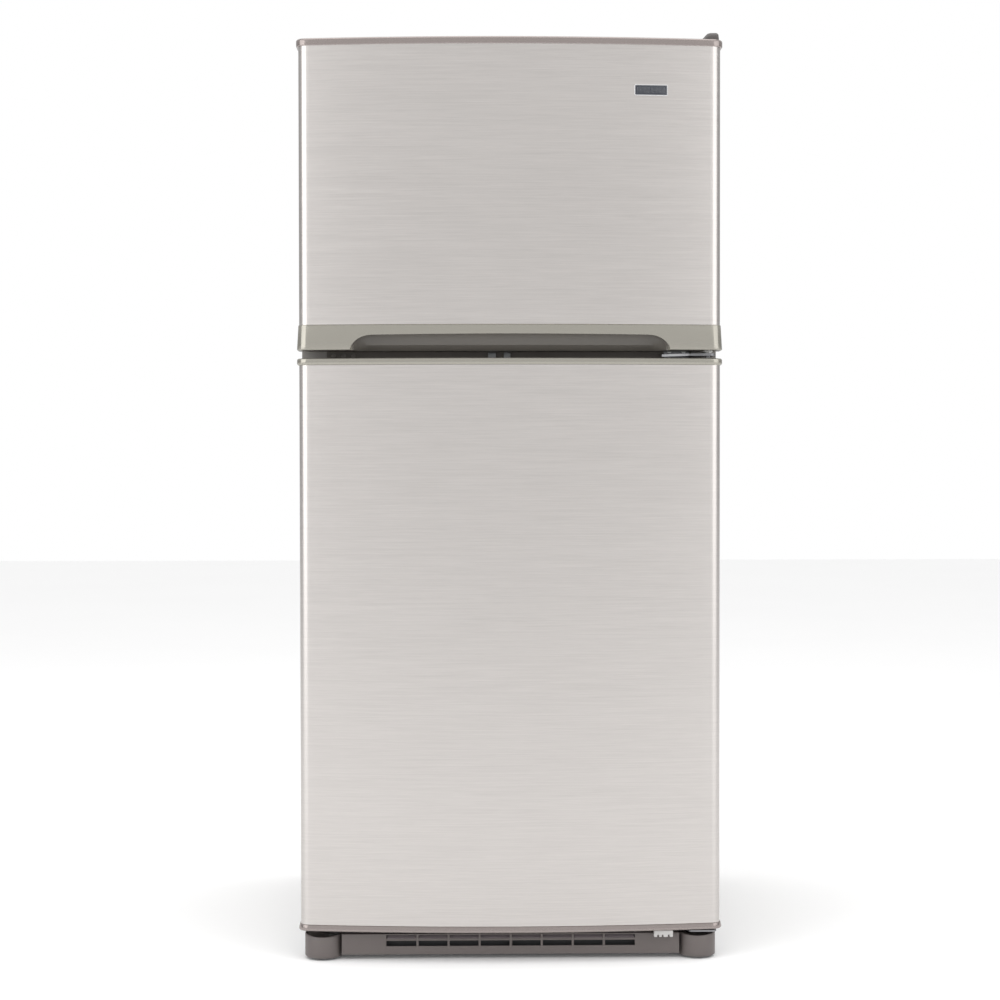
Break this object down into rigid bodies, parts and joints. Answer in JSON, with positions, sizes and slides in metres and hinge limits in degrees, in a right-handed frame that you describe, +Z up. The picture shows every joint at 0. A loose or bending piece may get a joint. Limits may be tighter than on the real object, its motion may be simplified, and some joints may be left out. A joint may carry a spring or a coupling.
{
  "type": "top freezer refrigerator",
  "caption": "Free-standing top freezer refrigerator with bowed brushed-steel doors hinged on the right, pocket handles, a slotted base grille and leveling feet.",
  "frame": {"origin": "on the floor, under the middle of the overall box", "axes": "+X to the right seen from the front, +Y towards the back, +Z up"},
  "size_m": [0.76, 0.78, 1.658],
  "materials": {
    "aluminium": "mill finish",
    "badge_chrome": "polished",
    "black_plastic": "matte",
    "black_steel": "gloss black",
    "brushed_skin": "fine horizontal brushing",
    "cabinet_paint": "satin textured paint",
    "clear_plastic": "clear moulding",
    "foam": "matte rigid foam",
    "galvanized_steel": "dull zinc",
    "gasket_rubber": "soft grey",
    "grey_plastic": "satin",
    "grille_plastic": "satin grey",
    "handle_plastic": "satin taupe",
    "liner_plastic": "smooth white",
    "shelf_glass": "clear toughened glass",
    "trim_plastic": "satin warm grey",
    "white_plastic": "satin white",
    "white_wire": "white coated wire",
    "zinc_steel": "bright zinc"
  },
  "bodies": {
    "cabinet": {"cabinet_wrapper": "cabinet_paint", "rear_panel": "galvanized_steel", "base_pan": "galvanized_steel", "cabinet_foam": "foam", "freezer_liner": "liner_plastic", "fridge_liner": "liner_plastic", "mullion_rail": "cabinet_paint", "evaporator_cover": "liner_plastic", "evaporator_coil": "aluminium", "evaporator_fan_motor": "galvanized_steel", "freezer_shelf": "white_wire", "air_duct": "liner_plastic", "control_housing": "liner_plastic", "light_lens": "clear_plastic", "shelf_frames": "white_plastic", "shelf_glass": "shelf_glass", "top_hinge": "zinc_steel", "top_hinge_cover": "grille_plastic", "middle_hinge": "zinc_steel", "lower_hinge": "zinc_steel", "hinge_screws": "zinc_steel", "base_grille": "grille_plastic", "leg_covers": "grille_plastic", "roller_brackets": "galvanized_steel", "compressor": "black_steel", "condenser_coil": "black_steel", "condenser_fan_motor": "galvanized_steel", "drip_pan": "black_plastic", "machine_cover": "galvanized_steel", "cord_inlet": "black_plastic"},
    "freezer_door": {"freezer_door_skin": "brushed_skin", "freezer_door_foam": "foam", "freezer_door_liner": "liner_plastic", "freezer_door_gasket": "gasket_rubber", "freezer_door_top_trim": "trim_plastic", "freezer_handle_trim": "handle_plastic", "freezer_door_bins": "clear_plastic", "badge": "badge_chrome"},
    "fridge_door": {"fridge_door_skin": "brushed_skin", "fridge_door_foam": "foam", "fridge_door_liner": "liner_plastic", "fridge_door_gasket": "gasket_rubber", "fridge_door_top_trim": "handle_plastic", "fridge_door_bottom_trim": "trim_plastic", "fridge_door_bins": "clear_plastic", "door_stop": "white_plastic"},
    "dairy_lid_body": {"dairy_lid": "clear_plastic"},
    "evaporator_fan_body": {"evaporator_fan": "black_plastic"},
    "condenser_fan_body": {"condenser_fan": "black_plastic"},
    "fridge_knob_body": {"fridge_knob": "grey_plastic"},
    "freezer_knob_body": {"freezer_knob": "grey_plastic"},
    "plunger_body": {"door_switch_plunger": "grey_plastic"},
    "slider_body": {"humidity_slider": "grey_plastic"},
    "crisper_left_body": {"crisper_left": "clear_plastic"},
    "crisper_right_body": {"crisper_right": "clear_plastic"},
    "deli_body": {"deli_drawer": "clear_plastic"},
    "leg_left_body": {"leveling_leg_left": "zinc_steel"},
    "leg_right_body": {"leveling_leg_right": "zinc_steel"},
    "roller_left_body": {"rear_roller_left": "black_plastic"},
    "roller_right_body": {"rear_roller_right": "black_plastic"}
  },
  "joints": [
    {"name": "freezer_door_hinge", "type": "hinge", "parent": "cabinet", "child": "freezer_door", "pos_m": [0.356, -0.334, 1.0885], "axis": [0, 0, 1], "range_deg": [0, 125]},
    {"name": "fridge_door_hinge", "type": "hinge", "parent": "cabinet", "child": "fridge_door", "pos_m": [0.356, -0.334, 1.079], "axis": [0, 0, 1], "range_deg": [0, 125]},
    {"name": "dairy_lid_hinge", "type": "hinge", "parent": "fridge_door", "child": "dairy_lid_body", "pos_m": [-0.146, -0.337, 0.895], "axis": [1, 0, 0], "range_deg": [0, 85]},
    {"name": "crisper_left_slide", "type": "slide", "parent": "cabinet", "child": "crisper_left_body", "axis": [0, -1, 0], "range_m": [0, 0.24]},
    {"name": "crisper_right_slide", "type": "slide", "parent": "cabinet", "child": "crisper_right_body", "axis": [0, -1, 0], "range_m": [0, 0.24]},
    {"name": "deli_drawer_slide", "type": "slide", "parent": "cabinet", "child": "deli_body", "axis": [0, -1, 0], "range_m": [0, 0.24]},
    {"name": "door_switch_slide", "type": "slide", "parent": "cabinet", "child": "plunger_body", "axis": [0, -1, 0], "range_m": [0, 0.006]},
    {"name": "humidity_slide", "type": "slide", "parent": "cabinet", "child": "slider_body", "axis": [1, 0, 0], "range_m": [-0.02, 0.02]},
    {"name": "fridge_knob_turn", "type": "hinge", "parent": "cabinet", "child": "fridge_knob_body", "pos_m": [-0.095, -0.252, 1.024], "axis": [0, -1, 0], "range_deg": [-120, 120]},
    {"name": "freezer_knob_turn", "type": "hinge", "parent": "cabinet", "child": "freezer_knob_body", "pos_m": [0.095, -0.252, 1.024], "axis": [0, -1, 0], "range_deg": [-120, 120]},
    {"name": "evaporator_fan_spin", "type": "hinge", "parent": "cabinet", "child": "evaporator_fan_body", "pos_m": [0, 0.262, 1.5], "axis": [0, 1, 0], "continuous": true},
    {"name": "condenser_fan_spin", "type": "hinge", "parent": "cabinet", "child": "condenser_fan_body", "pos_m": [0.022, 0.282, 0.15], "axis": [1, 0, 0], "continuous": true},
    {"name": "leveling_leg_left_turn", "type": "hinge", "parent": "cabinet", "child": "leg_left_body", "pos_m": [-0.336, -0.27, 0.03], "axis": [0, 0, 1], "continuous": true},
    {"name": "leveling_leg_right_turn", "type": "hinge", "parent": "cabinet", "child": "leg_right_body", "pos_m": [0.336, -0.27, 0.03], "axis": [0, 0, 1], "continuous": true},
    {"name": "rear_roller_left_spin", "type": "hinge", "parent": "cabinet", "child": "roller_left_body", "pos_m": [-0.33, 0.3, 0.02], "axis": [1, 0, 0], "continuous": true},
    {"name": "rear_roller_right_spin", "type": "hinge", "parent": "cabinet", "child": "roller_right_body", "pos_m": [0.33, 0.3, 0.02], "axis": [1, 0, 0], "continuous": true}
  ],
  "couplings": [
    {"joint": "crisper_left_slide", "follows": "fridge_door_hinge", "m_per_rad": 0.11001},
    {"joint": "crisper_right_slide", "follows": "fridge_door_hinge", "m_per_rad": 0.11001},
    {"joint": "deli_drawer_slide", "follows": "fridge_door_hinge", "m_per_rad": 0.11001},
    {"joint": "door_switch_slide", "follows": "fridge_door_hinge", "m_per_rad": 0.00275}
  ]
}
